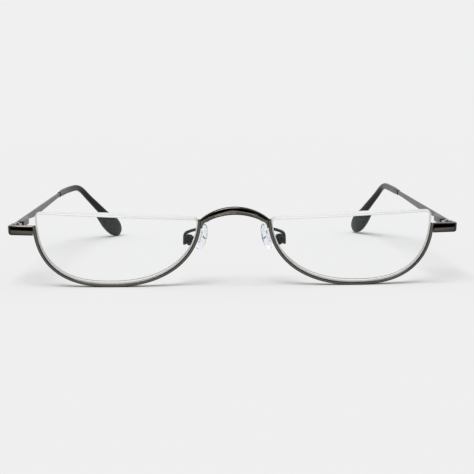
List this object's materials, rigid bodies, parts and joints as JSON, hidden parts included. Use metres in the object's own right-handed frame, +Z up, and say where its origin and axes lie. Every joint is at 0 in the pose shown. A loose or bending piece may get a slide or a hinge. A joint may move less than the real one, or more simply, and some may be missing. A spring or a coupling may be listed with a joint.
{
  "type": "reading glasses",
  "caption": "Half-rim reading glasses with an arched bridge, clear nose pads on wire arms, sprung hinges and slim temples ending in bent spoon-shaped ear tips.",
  "frame": {"origin": "middle of the footprint on the surface that the open glasses stand on", "axes": "+X to the wearer's left, +Y back along the temples away from the lenses, +Z up"},
  "size_m": [0.1402, 0.1358, 0.025],
  "materials": {
    "dark_metal": "dark gunmetal plating, half gloss",
    "satin_metal": "satin grey plating",
    "bright_steel": "plain polished steel",
    "lens": "polished clear lens plastic",
    "clear_nylon": "clear drawn nylon",
    "clear_silicone": "clear soft silicone",
    "tip_black": "black acetate, soft gloss"
  },
  "bodies": {
    "front": {"rim_left": "dark_metal", "rim_right": "dark_metal", "rim_liner_left": "clear_nylon", "rim_liner_right": "clear_nylon", "lens_left": "lens", "lens_right": "lens", "lens_thread_left": "clear_nylon", "lens_thread_right": "clear_nylon", "bridge": "dark_metal", "end_piece_left": "dark_metal", "end_piece_right": "dark_metal", "front_knuckle_left": "bright_steel", "front_knuckle_right": "bright_steel", "pad_arm_left": "bright_steel", "pad_arm_right": "bright_steel", "pad_box_left": "bright_steel", "pad_box_right": "bright_steel", "pad_screw_left": "bright_steel", "pad_screw_right": "bright_steel"},
    "pad_left": {"pad_mount_left": "clear_silicone", "nose_pad_left": "clear_silicone"},
    "hinge_pin_left": {"hinge_screw_left": "bright_steel"},
    "carriage_left": {"hinge_carriage_left": "bright_steel", "spring_rod_left": "bright_steel", "hinge_spring_left": "bright_steel"},
    "temple_left": {"temple_left": "satin_metal", "spring_housing_left": "satin_metal", "ear_tip_left": "tip_black"},
    "pad_right": {"pad_mount_right": "clear_silicone", "nose_pad_right": "clear_silicone"},
    "hinge_pin_right": {"hinge_screw_right": "bright_steel"},
    "carriage_right": {"hinge_carriage_right": "bright_steel", "spring_rod_right": "bright_steel", "hinge_spring_right": "bright_steel"},
    "temple_right": {"temple_right": "satin_metal", "spring_housing_right": "satin_metal", "ear_tip_right": "tip_black"}
  },
  "joints": [
    {"name": "flex_left", "type": "hinge", "parent": "front", "child": "hinge_pin_left", "pos_m": [0.0676, -0.0563, 0.01824], "axis": [0, -0.0605, 0.9982], "range_deg": [-10, 0], "stiffness_Nm_per_rad": 0.12, "springref_deg": 4.58},
    {"name": "fold_left", "type": "hinge", "parent": "hinge_pin_left", "child": "carriage_left", "pos_m": [0.0676, -0.0563, 0.01824], "axis": [0, -0.0605, 0.9982], "range_deg": [0, 88]},
    {"name": "spring_travel_left", "type": "slide", "parent": "carriage_left", "child": "temple_left", "axis": [0, 0.9982, 0.0605], "range_m": [0, 0.0004], "deforming": ["hinge_spring_left"]},
    {"name": "pad_rock_left", "type": "hinge", "parent": "front", "child": "pad_left", "pos_m": [0.0142, -0.05914, 0.01442], "axis": [0.5, 0.8449, 0.1899], "range_deg": [-8, 8]},
    {"name": "flex_right", "type": "hinge", "parent": "front", "child": "hinge_pin_right", "pos_m": [-0.0676, -0.0563, 0.01824], "axis": [0, 0.0605, -0.9982], "range_deg": [-10, 0], "stiffness_Nm_per_rad": 0.12, "springref_deg": 4.58},
    {"name": "fold_right", "type": "hinge", "parent": "hinge_pin_right", "child": "carriage_right", "pos_m": [-0.0676, -0.0563, 0.01824], "axis": [0, 0.0605, -0.9982], "range_deg": [0, 80]},
    {"name": "spring_travel_right", "type": "slide", "parent": "carriage_right", "child": "temple_right", "axis": [0, 0.9982, 0.0605], "range_m": [0, 0.0004], "deforming": ["hinge_spring_right"]},
    {"name": "pad_rock_right", "type": "hinge", "parent": "front", "child": "pad_right", "pos_m": [-0.0142, -0.05914, 0.01442], "axis": [-0.5, 0.8449, 0.1899], "range_deg": [-8, 8]}
  ],
  "couplings": [
    {"joint": "spring_travel_left", "follows": "flex_left", "m_per_rad": -0.0019},
    {"joint": "spring_travel_right", "follows": "flex_right", "m_per_rad": -0.0019}
  ]
}
